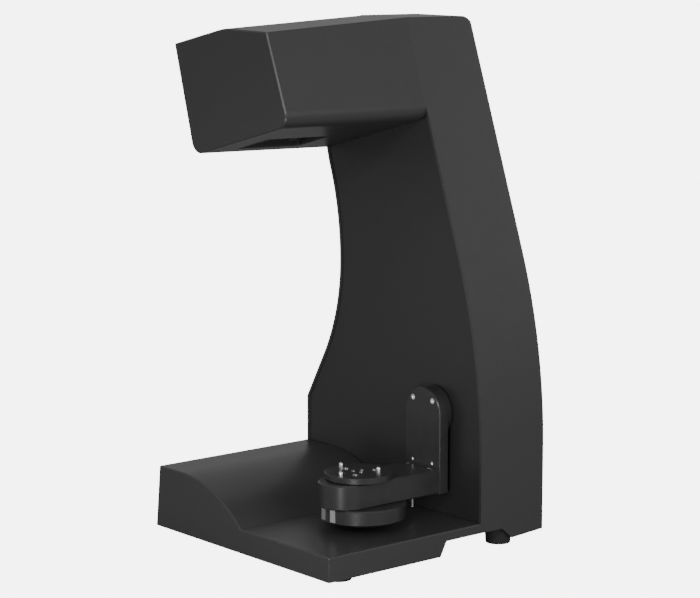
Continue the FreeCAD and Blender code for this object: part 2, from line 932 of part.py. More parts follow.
def foot_screws():
    grip = plate_top + s.clinch_height - s.foot_recess
    screws("foot_screws", "XY_Plane", s.foot_recess, -1, grip, foot_places(), "m4")


def base_plate_screws():
    grip = s.plate_thickness + s.clinch_height - 2 * s.overrun
    places = deck_post_places() + hump_post_places()
    screws("base_plate_screws", "XY_Plane", plate_bottom, -1, grip, places, "m3")


def column_shell():
    body = new_body("column_shell")
    solid = pad(body, "XZ_Plane", seam, rear, column_outline(nought, ground))
    rim = edges_where(solid, lambda edge: at_level(edge, "Y", rear) and not at_level(edge, "Z", ground))
    dress(body, "Fillet", solid, rim, s.rear_round)
    slope = s.eave_drop / (half - s.crest_offset)
    fall = s.shoulder_drop / (s.crest_offset + side_x(nought, top - s.shoulder_drop))
    loft(body, "SubtractiveLoft",
         draw(body, "YZ_Plane", -half - s.overrun, [brow_profile(top - s.eave_drop - s.overrun * slope)]),
         draw(body, "YZ_Plane", -s.crest_offset, [brow_profile(top)]),
         draw(body, "YZ_Plane", half, [brow_profile(top - (half + s.crest_offset) * fall)]))
    low = ground - s.overrun
    cut(body, "XZ_Plane", seam - s.overrun, panel_back, column_outline(s.wall, low))
    ledge_back = panel_back + s.ledge_thickness
    cut(body, "XZ_Plane", panel_back - s.overrun, ledge_back, column_outline(s.wall + s.ledge_width, low))
    brow_front = rear - s.brow_round
    cut(body, "XZ_Plane", ledge_back, brow_front, column_outline(s.wall, low))
    cut(body, "XZ_Plane", brow_front - s.overrun, rear_inside,
        column_outline(s.wall, low, s.brow_round - s.wall))
    ledge_low = plate_top + s.overrun
    cut(body, "XZ_Plane", panel_back - s.overrun, ledge_back, [
        corner(half - s.wall, low),
        corner(half - s.wall, ledge_low),
        corner(side_foot_x(s.wall, ledge_low), ledge_low),
        corner(side_foot_x(s.wall, low), low),
    ])
    notch_low = ground - s.overrun
    end = front + s.notch_end
    cut(body, "YZ_Plane", -half - s.overrun, half + s.overrun, [
        corner(seam - s.overrun, notch_low),
        corner(rear + s.overrun, notch_low),
        corner(rear + s.overrun, ground + s.rear_rise),
        corner(end, ground + s.heel_rise),
        corner(end - s.notch_rear_run, ground + s.notch_height),
        corner(seam - s.overrun, ground + s.notch_height),
    ])
    recess = rear_cover_box(s.fit_gap)
    opening = rear_cover_box(-s.cover_ledge)
    cut(body, "XZ_Plane", rear - s.rear_cover_thickness, rear + s.overrun, recess)
    cut(body, "XZ_Plane", rear_inside - s.overrun, rear, opening)
    holes = [disc(x, z, s.m2_radius + s.seat_gap) for x, z in rear_cover_screw_places()]
    cut(body, "XZ_Plane", rear_inside - s.overrun, rear, *holes)


def brow_profile(level):
    """What rounding the rear edge of the top takes away, seen from the side."""
    reach = s.brow_round
    return [
        corner(rear - reach, level, arc=-reach),
        corner(rear, level - reach),
        corner(rear + s.overrun, level - reach),
        corner(rear + s.overrun, level + reach),
        corner(rear - reach, level + reach),
    ]


def column_panel():
    body = new_body("column_panel")
    gap = s.wall + s.fit_gap
    outline = column_outline(gap, deck - s.wall)
    lap_z = lip_z + s.panel_lap
    mouth = outline[7]
    mouth["y"] = mouth["y"] + s.panel_lap
    lap = corner(side_x(gap, lap_z), lap_z)
    pad(body, "XZ_Plane", panel_front, panel_back, outline[:3] + [lap, mouth] + outline[8:])
    cut(body, "XZ_Plane", panel_front - s.overrun, panel_back + s.overrun,
        disc(arm_x, swing_z, s.shaft_passage))


def head_shell():
    body = new_body("head_shell")
    face = draw(body, "XZ_Plane", nose, [head_section(nose_points, s.nose_bevel)])
    face_end = draw(body, "XZ_Plane", nose + s.nose_bevel, [head_section(nose_points, nought)])
    loft(body, "AdditiveLoft", face, face_end)
    neck_start = draw(body, "XZ_Plane", nose + s.nose_bevel, [head_section(nose_points, nought)])
    neck = draw(body, "XZ_Plane", seam, [head_section(neck_points, nought)])
    loft(body, "AdditiveLoft", neck_start, neck)
    inner_nose = draw(body, "XZ_Plane", nose + s.wall, [head_section(nose_points, s.wall)])
    inner_neck = draw(body, "XZ_Plane", seam + s.overrun, [head_section(neck_points, s.wall)])
    loft(body, "SubtractiveLoft", inner_nose, inner_neck)
    tool = window_tool()
    opened = doc.addObject("Part::Cut", "head_shell_opened")
    opened.Base = body
    opened.Tool = tool
    body.Label = "head_shell_solid"
    opened.Label = "head_shell"
    pieces[pieces.index(body)] = opened


def window_tool():
    """What the window's opening takes out of the head's underside."""
    tool = new_body("window_tool")
    pieces.remove(tool)
    place(tool, window_x, window_y, window_z, underside_tilt)
    across = s.window_width / 2
    along = s.window_length / 2
    reach = s.wall + s.overrun
    pad(tool, "XY_Plane", -reach, reach, box(-across, across, -along, along, s.window_corner))
    return tool


# Rear cover with what is mounted on it

cover_x = s.cover_offset
cover_low = ground + s.cover_lift
socket_z = cover_low + s.socket_height
cover_front = rear - s.rear_cover_thickness
inlet_x = cover_x - s.cover_width * s.inlet_offset_share
usb_x = cover_x + s.cover_width * s.usb_offset_share
switch_x = cover_x + s.cover_width * s.switch_offset_share


def rear_cover_box(grow):
    across = s.cover_width / 2 + grow
    low = cover_low - grow
    high = cover_low + s.cover_height + grow
    return box(cover_x - across, cover_x + across, low, high, s.cover_corner)


def rear_cover_screw_places():
    across = s.cover_width / 2 - s.cover_screw_inset
    low = cover_low + s.cover_screw_inset + s.cover_corner
    high = cover_low + s.cover_height - s.cover_screw_inset - s.cover_corner
    middle = (low + high) / 2
    return [(cover_x + side * across, z) for side in (-1, 1) for z in (low, middle, high)]


def centred_box(x, z, width, height, bend=None):
    return box(x - width / 2, x + width / 2, z - height / 2, z + height / 2, bend)


def rear_cover():
    body = new_body("rear_cover")
    pad(body, "XZ_Plane", cover_front, rear, rear_cover_box(nought))
    slot_z = cover_low + s.cover_height - s.slot_drop
    slot = cut(body, "XZ_Plane", cover_front - s.overrun, rear + s.overrun,
               centred_box(cover_x, slot_z, s.cover_width * s.slot_width_share, s.slot_height))
    row = body.newObject("PartDesign::LinearPattern", "rear_cover_slots")
    row.Originals = [slot]
    row.Direction = (slot.Profile[0], ["V_Axis"])
    row.Reversed = True
    row.Occurrences = VENT_SLOTS
    row.Length = s.slot_pitch.value * (VENT_SLOTS - 1)
    bind(row, "Length", s.slot_pitch * (VENT_SLOTS - 1))
    body.Tip = row
    doc.recompute()
    gap = 2 * s.fit_gap
    cut(body, "XZ_Plane", cover_front - s.overrun, rear + s.overrun,
        centred_box(inlet_x, socket_z, s.inlet_width + gap, s.inlet_height + gap),
        centred_box(usb_x, socket_z, s.usb_width + gap, s.usb_height + gap),
        centred_box(switch_x, socket_z, s.switch_width + gap, s.switch_height + gap))
    low = cover_front - s.overrun
    holes = [disc(x, z, s.m2_radius + s.seat_gap) for x, z in rear_cover_screw_places()]
    cut(body, "XZ_Plane", low, rear, *holes)
    sinks = [disc(x, z, s.m2_head_radius + s.seat_gap) for x, z in rear_cover_screw_places()]
    cut(body, "XZ_Plane", rear - s.m2_head_height, rear + s.overrun, *sinks)


def rear_cover_screws():
    level = rear - s.m2_head_height
    grip = s.rear_wall - s.m2_head_height
    screws("rear_cover_screws", "XZ_Plane", level, 1, grip, rear_cover_screw_places(), "m2")


def power_inlet():
    body = new_body("power_inlet")
    x = inlet_x
    flange = 2 * s.inlet_flange
    pad(body, "XZ_Plane", cover_front - s.inlet_depth, rear,
        centred_box(x, socket_z, s.inlet_width, s.inlet_height))
    pad(body, "XZ_Plane", cover_front - s.bezel_flange, cover_front,
        centred_box(x, socket_z, s.inlet_width + flange, s.inlet_height + flange))
    floor = rear - s.inlet_cavity_depth
    cut(body, "XZ_Plane", floor, rear + s.overrun,
        centred_box(x, socket_z, s.inlet_cavity_width, s.inlet_cavity_height))
    blades = [(x, socket_z + s.blade_rise), (x - s.blade_spacing, socket_z - s.blade_rise),
              (x + s.blade_spacing, socket_z - s.blade_rise)]
    pad(body, "XZ_Plane", floor - s.overrun, floor + s.blade_length,
        *[centred_box(bx, bz, s.blade_width, s.blade_height) for bx, bz in blades])


def usb_socket():
    body = new_body("usb_socket")
    x = usb_x
    flange = 2 * s.usb_flange
    pad(body, "XZ_Plane", cover_front - s.usb_depth, rear,
        centred_box(x, socket_z, s.usb_width, s.usb_height))
    pad(body, "XZ_Plane", cover_front - s.bezel_flange, cover_front,
        centred_box(x, socket_z, s.usb_width + flange, s.usb_height + flange))
    floor = rear - s.usb_cavity_depth
    cut(body, "XZ_Plane", floor, rear + s.overrun,
        centred_box(x, socket_z, s.usb_cavity_width, s.usb_cavity_height))
    pad(body, "XZ_Plane", floor - s.overrun, floor + s.tongue_length,
        centred_box(x, socket_z, s.tongue_width, s.tongue_height))


rocker_y = rear - s.rocker_setback


def switch_body():
    body = new_body("switch_body")
    flange = 2 * s.switch_flange
    pad(body, "XZ_Plane", cover_front - s.switch_depth, rear - s.overrun,
        centred_box(switch_x, socket_z, s.switch_width, s.switch_height))
    pad(body, "XZ_Plane", cover_front - s.bezel_flange, cover_front,
        centred_box(switch_x, socket_z, s.switch_width + flange, s.switch_height + flange))
    deep = rocker_y - s.rocker_depth - s.overrun
    cut(body, "XZ_Plane", deep, rear, centred_box(
        switch_x, socket_z, s.rocker_width + 2 * s.fit_gap, s.rocker_height + s.rocker_well))
    across = s.rocker_width / 2 + s.fit_gap + s.overrun
    pad(body, "YZ_Plane", switch_x - across, switch_x + across, disc(rocker_y, socket_z, s.rocker_pin_radius))


def switch_rocker():
    body = new_body("switch_rocker")
    place(body, switch_x, rocker_y, socket_z, s.rocker_angle, V(1, 0, 0))
    across = s.rocker_width / 2
    tall = s.rocker_height / 2
    rise = tall * sine(s.rocker_angle) / cosine(s.rocker_angle)
    crown = s.rocker_hub_radius + s.overrun
    pad(body, "YZ_Plane", -across, across, [
        corner(crown - s.rocker_hub_radius, -tall),
        corner(crown + rise, -tall, s.fit_gap),
        corner(crown, nought),
        corner(crown + rise, tall, s.fit_gap),
        corner(crown - s.rocker_hub_radius, tall),
        corner(-s.rocker_hub_radius, s.rocker_hub_radius),
        corner(-s.rocker_hub_radius, -s.rocker_hub_radius),
    ])
    cut(body, "YZ_Plane", -across - s.overrun, across + s.overrun,
        disc(nought, nought, s.rocker_pin_radius + s.seat_gap))


# Optics in the head

window_seat = s.wall + 2 * s.fit_gap


def window_bezel():
    """A shallow frame in the opening, with a plate over it that has one window for each lens."""
    body = new_body("window_bezel")
    place(body, window_x, window_y, window_z, underside_tilt)
    across = s.window_width / 2 - s.fit_gap
    along = s.window_length / 2 - s.fit_gap
    inner_across = across - s.bezel_wall
    inner_along = along - s.bezel_wall
    plate_high = window_seat + s.bezel_flange
    pad(body, "XY_Plane", s.fit_gap, plate_high, box(-across, across, -along, along, s.window_corner))
    wide = s.window_width / 2 + s.bezel_lap
    long = s.window_length / 2 + s.bezel_lap
    pad(body, "XY_Plane", window_seat, plate_high, box(-wide, wide, -long, long, s.window_corner))
    cut(body, "XY_Plane", -s.overrun, window_seat, box(
        -inner_across, inner_across, -inner_along, inner_along, s.window_corner - s.bezel_wall))
    x = s.projector_window_offset
    windows = [centred_box(x, nought, s.projector_window_width, s.projector_window_length)]
    for side in (-1, 1):
        windows.append(centred_box(s.camera_window_offset, side * s.camera_spacing / 2,
                                   s.camera_window_width, s.camera_window_length))
    cut(body, "XY_Plane", window_seat - s.overrun, plate_high + s.overrun, *windows)


def window_glass():
    body = new_body("window_glass")
    place(body, window_x, window_y, window_z, underside_tilt)
    across = s.window_width / 2 - s.bezel_wall
    along = s.window_length / 2 - s.bezel_wall
    low = window_seat + s.bezel_flange
    pad(body, "XY_Plane", low, low + s.glass_thickness, box(-across, across, -along, along))


optic_low = s.head_frame_lift
optic_high = optic_low + s.sheet_thickness
camera_places = [(s.camera_window_offset, side * s.camera_spacing / 2) for side in (-1, 1)]


def head_frame():
    body = new_body("head_frame")
    place(body, window_x, window_y, window_z, aim_tilt)
    across = s.head_frame_width / 2
    back = frame_front - window_y
    pad(body, "XY_Plane", optic_low, optic_high, box(-across, across, -s.head_frame_reach, back))
    pad(body, "XY_Plane", optic_low, optic_high + s.head_frame_flange,
        box(-across, across, back - s.sheet_thickness, back))
    gap = s.fit_gap
    holes = [disc(x, y, s.camera_lens_radius + gap) for x, y in camera_places]
    holes.append(disc(s.projector_window_offset, nought, s.projector_lens_radius + gap))
    cut(body, "XY_Plane", optic_low - s.overrun, optic_high + s.overrun, *holes)


def projector():
    body = new_body("projector")
    place(body, window_x, window_y, window_z, aim_tilt)
    pad(body, "XY_Plane", optic_high, optic_high + s.projector_height, centred_box(
        s.projector_window_offset, nought, s.projector_width, s.projector_length, s.projector_corner))


def camera(name, spot):
    body = new_body(name)
    place(body, window_x, window_y, window_z, aim_tilt)
    x, y = spot
    pad(body, "XY_Plane", optic_high, optic_high + s.camera_height,
        centred_box(x, y, s.camera_width, s.camera_length, s.bezel_wall))


def lens_barrels(name, spots, radius, length):
    """Lens barrels that hang from the camera or projector, open at their lower ends."""
    body = new_body(name)
    place(body, window_x, window_y, window_z, aim_tilt)
    low = optic_high - length
    pad(body, "XY_Plane", low, optic_high, *[disc(x, y, radius) for x, y in spots])
    cut(body, "XY_Plane", low - s.overrun, low + 2 * s.lens_depth,
        *[disc(x, y, radius - s.lens_rim) for x, y in spots])


def lens_glasses():
    body = new_body("lens_glasses")
    place(body, window_x, window_y, window_z, aim_tilt)
    rim = s.lens_rim + s.seat_gap
    low = optic_high - s.camera_lens_length + s.lens_depth
    pad(body, "XY_Plane", low, low + s.lens_depth,
        *[disc(x, y, s.camera_lens_radius - rim) for x, y in camera_places])
    low = optic_high - s.projector_lens_length + s.lens_depth
    pad(body, "XY_Plane", low, low + s.lens_depth,
        disc(s.projector_window_offset, nought, s.projector_lens_radius - rim))


# Column frame with the swing drive

def drive_x():
    """The swing motor's place, one centre distance to the left of the swing axis."""
    return arm_x - s.swing_module * (SWING_GEAR_TEETH + SWING_PINION_TEETH) / 2


def motor_hole_places():
    reach = s.motor_hole_spacing / 2
    return [(drive_x() + i * reach, swing_z + j * reach) for i in (-1, 1) for j in (-1, 1)]


def barrel_hole_places():
    across = s.barrel_hole_radius * cosine(s.barrel_hole_angle)
    along = s.barrel_hole_radius * sine(s.barrel_hole_angle)
    return [(arm_x + i * across, swing_z + j * along) for i in (-1, 1) for j in (-1, 1)]


def column_frame():
    body = new_body("column_frame")
    left = waist_x + s.frame_waist_margin
    right = half - s.wall - s.frame_margin
    shoulder_x, shoulder_z = side_point(s.frame_margin)
    high = top - s.frame_top_drop
    head_left = s.frame_head_inset - half
    pad(body, "XZ_Plane", frame_front, frame_back, [
        corner(left, plate_top),
        corner(right, plate_top),
        corner(right, side_z),
        corner(shoulder_x, shoulder_z),
        corner(side_x(s.frame_margin, high), high),
        corner(head_left, high),
        corner(head_left, top - s.frame_head_drop),
        corner(left, top - s.frame_neck_drop),
    ])
    foot_right = half - s.foot_inset - s.clinch_radius - s.overrun
    pad(body, "XY_Plane", plate_top, plate_top + s.sheet_thickness,
        box(left, foot_right, frame_back - s.sheet_thickness, frame_back + s.frame_foot))
    low = frame_front - s.overrun
    holes = [disc(x, z, s.m3_radius + s.seat_gap) for x, z in motor_hole_places() + barrel_hole_places()]
    cut(body, "XZ_Plane", low, frame_back + s.overrun,
        disc(arm_x, swing_z, s.barrel_bore),
        disc(drive_x(), swing_z, s.motor_spigot_radius + s.seat_gap), *holes)
    cut(body, "XY_Plane", plate_top - s.overrun, plate_top + s.sheet_thickness + s.overrun,
        *[disc(x, y, s.m4_radius + s.seat_gap) for x, y in frame_screw_places()])


def frame_screws():
    screws("frame_screws", "XY_Plane", plate_top + s.sheet_thickness, 1,
           s.sheet_thickness + s.plate_thickness, frame_screw_places(), "m4")


def drive_screws():
    places = motor_hole_places() + barrel_hole_places()
    screws("drive_screws", "XZ_Plane", frame_front, -1, s.sheet_thickness + s.barrel_flange, places, "m3")


def bearing_housing():
    body = new_body("bearing_housing")
    back = frame_back + s.barrel_length
    pad(body, "XZ_Plane", frame_back, back, disc(arm_x, swing_z, s.barrel_radius))
    pad(body, "XZ_Plane", frame_back, frame_back + s.barrel_flange,
        disc(arm_x, swing_z, s.barrel_flange_radius))
    cut(body, "XZ_Plane", frame_back - s.overrun, back + s.overrun, disc(arm_x, swing_z, s.barrel_bore))
    seat = disc(arm_x, swing_z, s.bearing_radius + s.seat_gap)
    cut(body, "XZ_Plane", frame_back - s.overrun, frame_back + s.bearing_width, seat)
    cut(body, "XZ_Plane", back - s.bearing_width, back + s.overrun, seat)
    holes = [disc(x, z, s.m3_radius + s.seat_gap) for x, z in barrel_hole_places()]
    cut(body, "XZ_Plane", frame_back - s.overrun, frame_back + s.barrel_flange + s.overrun, *holes)


def bearing_outline(bore, radius, low, width):
    """Half a section of a shielded ball bearing: its rim and bore stand proud of its shields."""
    rim = (radius - bore) / 4
    groove = s.bearing_groove
    high = low + width
    return [
        corner(low, bore),
        corner(high, bore),
        corner(high, bore + rim),
        corner(high - groove, bore + rim),
        corner(high - groove, radius - rim),
        corner(high, radius - rim),
        corner(high, radius),
        corner(low, radius),
        corner(low, radius - rim),
        corner(low + groove, radius - rim),
        corner(low + groove, bore + rim),
        corner(low, bore + rim),
    ]


def swing_bearings():
    body = new_body("swing_bearings")
    place(body, arm_x, nought, swing_z)
    bore = s.shaft_radius + s.seat_gap
    back = frame_back + s.barrel_length - s.bearing_width
    outline = bearing_outline(bore, s.bearing_radius, frame_back, s.bearing_width)
    turn(body, "XY_Plane", swapped(outline), "V_Axis")
    turn(body, "XY_Plane", swapped(bearing_outline(bore, s.bearing_radius, back, s.bearing_width)), "V_Axis")


def swapped(corners):
    """The same outline with its two directions exchanged, and its order kept anticlockwise."""
    return [corner(item["y"], item["x"]) for item in reversed(corners)]


def swing_motor():
    body = new_body("swing_motor")
    x = drive_x()
    back = frame_back + s.motor_length
    pad(body, "XZ_Plane", frame_back, back,
        centred_box(x, swing_z, s.motor_width, s.motor_width, s.motor_corner))
    pad(body, "XZ_Plane", frame_back - s.motor_spigot, frame_back + s.overrun,
        disc(x, swing_z, s.motor_spigot_radius))
    deep = frame_back + 2 * s.motor_shaft_radius
    cut(body, "XZ_Plane", frame_back - s.motor_spigot - s.overrun, deep + s.overrun,
        disc(x, swing_z, s.motor_shaft_radius + s.seat_gap))
    holes = [disc(hx, hz, s.m3_radius + s.seat_gap) for hx, hz in motor_hole_places()]
    cut(body, "XZ_Plane", frame_back - s.overrun, frame_back + s.barrel_flange + s.overrun, *holes)


def gear_shape(teeth, module, phase, low, high, bore, axis):
    """A spur gear with involute flanks between two levels, its first tooth at an angle."""
    radius = module.value * teeth / 2
    addendum = s.addendum_share.value * module.value
    dedendum = s.dedendum_share.value * module.value
    pressure = math.radians(s.pressure_angle.value)
    base = radius * math.cos(pressure)
    thick = math.pi * module.value / 2 - s.backlash.value
    centre_angle = thick / (2 * radius) + math.tan(pressure) - pressure
    levels = [
        radius - addendum * s.flank_foot_share.value,
        radius + addendum * s.flank_middle_share.value,
        radius + addendum,
    ]
    points = []
    for tooth in range(teeth):
        middle = phase + 2 * math.pi * tooth / teeth
        flank = []
        for level in levels:
            roll = math.acos(min(1, base / level))
            flank.append((level, centre_angle - (math.tan(roll) - roll)))
        flank.insert(0, (radius - dedendum, flank[0][1]))
        for level, angle in flank:
            points.append((level, middle - angle))
        for level, angle in reversed(flank):
            points.append((level, middle + angle))
    if axis == "Y":
        corners = [V(r * math.cos(a), low.value, r * math.sin(a)) for r, a in points]
        outward = V(0, high.value - low.value, 0)
        normal = V(0, 1, 0)
    else:
        corners = [V(r * math.cos(a), r * math.sin(a), low.value) for r, a in points]
        outward = V(0, 0, high.value - low.value)
        normal = V(0, 0, 1)
    wheel = Part.Face(Part.makePolygon(corners + corners[:1])).extrude(outward)
    if bore:
        hole = Part.makeCylinder(bore.value, outward.Length, normal * low.value, normal)
        wheel = wheel.cut(hole)
    return wheel


def new_gear(name, shape, x, y, z):
    """A gear as one object, with its place set after its shape."""
    gear = doc.addObject("Part::Feature", name)
    gear.Label = name
    gear.Shape = shape
    place(gear, x, y, z)
    pieces.append(gear)


gear_front = panel_back + s.gear_gap
gear_back = gear_front + s.gear_thickness


def swing_gear():
    bore = s.shaft_radius + s.seat_gap
    wheel = gear_shape(SWING_GEAR_TEETH, s.swing_module, 0, gear_front, gear_back, bore, "Y")
    along = V(0, 1, 0)
    hub = Part.makeCylinder(s.gear_hub_radius.value, s.gear_hub_length.value, along * gear_back.value, along)
    hole = Part.makeCylinder(bore.value, s.gear_hub_length.value, along * gear_back.value, along)
    new_gear("swing_gear", wheel.fuse(hub.cut(hole)), arm_x, nought, swing_z)


def swing_pinion():
    phase = math.pi / SWING_PINION_TEETH
    wheel = gear_shape(SWING_PINION_TEETH, s.swing_module, phase, gear_front, gear_back, None, "Y")
    end = frame_back + 2 * s.motor_shaft_radius
    along = V(0, 1, 0)
    reach = end.value - gear_back.value
    shaft = Part.makeCylinder(s.motor_shaft_radius.value, reach, along * gear_back.value, along)
    new_gear("swing_pinion", wheel.fuse(shaft), drive_x(), nought, swing_z)


def swing_shaft():
    body = new_body("swing_shaft")
    end = frame_back + s.barrel_length + s.fit_gap + s.collar_length
    pad(body, "XZ_Plane", hub_front, end, disc(arm_x, swing_z, s.shaft_radius))


def shaft_collar():
    body = new_body("shaft_collar")
    low = frame_back + s.barrel_length + s.fit_gap
    pad(body, "XZ_Plane", low, low + s.collar_length, disc(arm_x, swing_z, s.collar_radius))
    cut(body, "XZ_Plane", low - s.overrun, low + s.collar_length + s.overrun,
        disc(arm_x, swing_z, s.shaft_radius + s.seat_gap))


# Bracket and arm

def hub_screw_places():
    reach = s.hub_screw_spacing / 2
    return [(arm_x - reach, swing_z + s.hub_screw_rise), (arm_x + reach, swing_z + s.hub_screw_rise)]


def bracket_screw_places():
    reach = s.hub_screw_spacing / 2
    return [(arm_x - reach, swing_z - s.bracket_screw_drop), (arm_x + reach, swing_z - s.bracket_screw_drop)]


def mount_screw_places():
    reach = s.mount_screw_spacing / 2
    return [(arm_x - reach, swing_z - s.mount_screw_drop), (arm_x + reach, swing_z - s.mount_screw_drop)]


def swing_hub():
    body = new_body("swing_hub")
    pad(body, "XZ_Plane", hub_front, hub_back, disc(arm_x, swing_z, s.hub_radius))
    cut(body, "XZ_Plane", hub_front - s.overrun, hub_back + s.overrun,
        disc(arm_x, swing_z, s.shaft_radius + s.seat_gap))
    holes = [disc(x, z, s.m3_radius + s.seat_gap) for x, z in hub_screw_places()]
    cut(body, "XZ_Plane", hub_front - s.overrun, hub_back - s.overrun, *holes)


def bracket_plate():
    body = new_body("bracket_plate")
    across = s.arm_width / 2
    low = swing_z - s.bracket_drop
    solid = pad(body, "XZ_Plane", arm_back, hub_front, [
        corner(arm_x - across, low),
        corner(arm_x + across, low),
        corner(arm_x + across, swing_z, arc=across),
        corner(arm_x, swing_z + across, arc=across),
        corner(arm_x - across, swing_z),
    ])
    rim = edges_where(solid, lambda edge: at_level(edge, "Y", arm_back) and not at_level(edge, "Z", low))
    dress(body, "Chamfer", solid, rim, s.bracket_bevel)
    reach = across - s.cover_margin
    cover_low_z = low + s.cover_margin
    cover_high = swing_z - s.hub_radius - s.fit_gap
    rebate = box(arm_x - reach, arm_x + reach, cover_low_z, cover_high)
    cut(body, "XZ_Plane", hub_front - s.cover_thickness, hub_front + s.overrun, rebate)
    channel = s.channel_width / 2
    cut(body, "XZ_Plane", hub_front - s.channel_depth, hub_front + s.overrun, box(
        arm_x - channel, arm_x + channel, swing_z - s.channel_bottom_drop, swing_z - s.channel_top_drop))
    sinks = [disc(x, z, s.m3_head_radius + s.seat_gap) for x, z in hub_screw_places()]
    cut(body, "XZ_Plane", arm_back - s.overrun, arm_back + s.m3_head_height, *sinks)
    holes = [disc(x, z, s.m3_radius + s.seat_gap) for x, z in hub_screw_places() + mount_screw_places()]
    cut(body, "XZ_Plane", arm_back - s.overrun, hub_front + s.overrun, *holes)
    mount_sinks = [disc(x, z, s.m3_head_radius + s.seat_gap) for x, z in mount_screw_places()]
    mount_level = hub_front - s.cover_thickness - s.m3_head_height
    cut(body, "XZ_Plane", mount_level, hub_front + s.overrun, *mount_sinks)
    small_sinks = [disc(x, z, s.m2_head_radius + s.seat_gap) for x, z in bracket_screw_places()]
    cut(body, "XZ_Plane", arm_back - s.overrun, arm_back + s.m2_head_height, *small_sinks)
    small = [disc(x, z, s.m2_radius + s.seat_gap) for x, z in bracket_screw_places()]
    cut(body, "XZ_Plane", arm_back, hub_front, *small)


def bracket_cover():
    body = new_body("bracket_cover")
    reach = s.arm_width / 2 - s.cover_margin - s.fit_gap
    low = swing_z - s.bracket_drop + s.cover_margin + s.fit_gap
    high = swing_z - s.hub_radius - 2 * s.fit_gap
    pad(body, "XZ_Plane", hub_front - s.cover_thickness, hub_front,
        box(arm_x - reach, arm_x + reach, low, high))
    holes = [disc(x, z, s.m2_radius + s.seat_gap) for x, z in bracket_screw_places()]
    cut(body, "XZ_Plane", hub_front - s.cover_thickness - s.overrun, hub_front + s.overrun, *holes)


def hub_screws():
    grip = s.bracket_thickness - s.m3_head_height + s.hub_thickness - 2 * s.overrun
    screws("hub_screws", "XZ_Plane", arm_back + s.m3_head_height, -1, grip, hub_screw_places(), "m3")


def bracket_screws():
    grip = s.bracket_thickness - s.m2_head_height
    screws("bracket_screws", "XZ_Plane", arm_back + s.m2_head_height, -1, grip, bracket_screw_places(), "m2")


def mount_screws():
    level = hub_front - s.cover_thickness - s.m3_head_height
    grip = level - arm_back + s.arm_wall
    screws("arm_mount_screws", "XZ_Plane", level, 1, grip, mount_screw_places(), "m3")


def arm_outline(gap):
    """The arm from above, straight at the bracket and half round at its end."""
    across = s.arm_width / 2 - gap
    return [
        corner(arm_x + across, arm_back - gap),
        corner(arm_x - across, arm_back - gap),
        corner(arm_x - across, arm_end_y, arc=across),
        corner(arm_x, arm_end_y - across, arc=across),
        corner(arm_x + across, arm_end_y),
    ]


def top_screw_places():
    reach = s.top_screw_spacing / 2
    return [(arm_x - reach, arm_back - s.top_screw_inset), (arm_x + reach, arm_back - s.top_screw_inset)]


def floor_screw_places():
    reach = s.arm_width / 2 - s.arm_wall - s.m2_head_radius - s.overrun
    y = arm_back - s.arm_wall - s.m2_head_radius - s.overrun
    return [(arm_x - reach, y), (arm_x + reach, y)]


platform_pinion_y = platform_y + s.platform_module * (PLATFORM_GEAR_TEETH + PLATFORM_PINION_TEETH) / 2


def arm_body():
    body = new_body("arm_body")
    solid = pad(body, "XY_Plane", arm_bottom, arm_top, arm_outline(nought))
    rim = edges_where(solid, lambda edge: (at_level(edge, "Z", arm_top) or at_level(edge, "Z", arm_bottom))
                      and not at_level(edge, "Y", arm_back))
    dress(body, "Chamfer", solid, rim, s.arm_bevel)
    ceiling = arm_top - s.arm_wall
    cut(body, "XY_Plane", arm_bottom - s.overrun, ceiling, arm_outline(s.arm_wall))
    outer = s.platform_bearing_radius + s.boss_wall
    pad(body, "XY_Plane", ceiling - s.boss_depth, ceiling + s.overrun, disc(arm_x, platform_y, outer))
    cut(body, "XY_Plane", ceiling - s.boss_depth - s.overrun, ceiling,
        disc(arm_x, platform_y, s.platform_bearing_radius + s.seat_gap))
    passage = s.platform_shaft_radius + s.fit_gap
    cut(body, "XY_Plane", ceiling - s.overrun, arm_top + s.overrun, disc(arm_x, platform_y, passage))
    sinks = [disc(x, y, s.m2_head_radius + s.seat_gap) for x, y in top_screw_places()]
    cut(body, "XY_Plane", arm_top - s.m2_head_height, arm_top + s.overrun, *sinks)
    holes = [disc(x, y, s.m2_radius + s.seat_gap) for x, y in top_screw_places()]
    cut(body, "XY_Plane", ceiling - s.overrun, arm_top, *holes)
    mounts = [disc(x, z, s.m3_radius + s.seat_gap) for x, z in mount_screw_places()]
    cut(body, "XZ_Plane", arm_back - s.arm_wall - s.overrun, arm_back + s.overrun, *mounts)


def arm_block():
    """The block inside the arm's rear end that the top screws hold."""
    body = new_body("arm_block")
    across = s.arm_width / 2 - s.arm_wall - s.fit_gap
    back = arm_back - s.arm_wall - s.fit_gap
    deep = 2 * s.top_screw_inset
    floor = arm_bottom + s.arm_floor_thickness
    ceiling = arm_top - s.arm_wall
    low = swing_z - s.mount_screw_drop + s.m3_head_radius
    pad(body, "XY_Plane", low, ceiling, box(arm_x - across, arm_x + across, back - deep, back))
    pad(body, "XY_Plane", floor, low, box(arm_x - across, arm_x - across + deep, back - deep, back),
        box(arm_x + across - deep, arm_x + across, back - deep, back))
    holes = [disc(x, y, s.m2_radius + s.seat_gap) for x, y in top_screw_places()]
    cut(body, "XY_Plane", ceiling - 2 * s.boss_wall, ceiling + s.overrun, *holes)


def arm_top_screws():
    grip = s.arm_wall - s.m2_head_height + s.boss_wall
    screws("arm_top_screws", "XY_Plane", arm_top - s.m2_head_height, 1, grip, top_screw_places(), "m2")


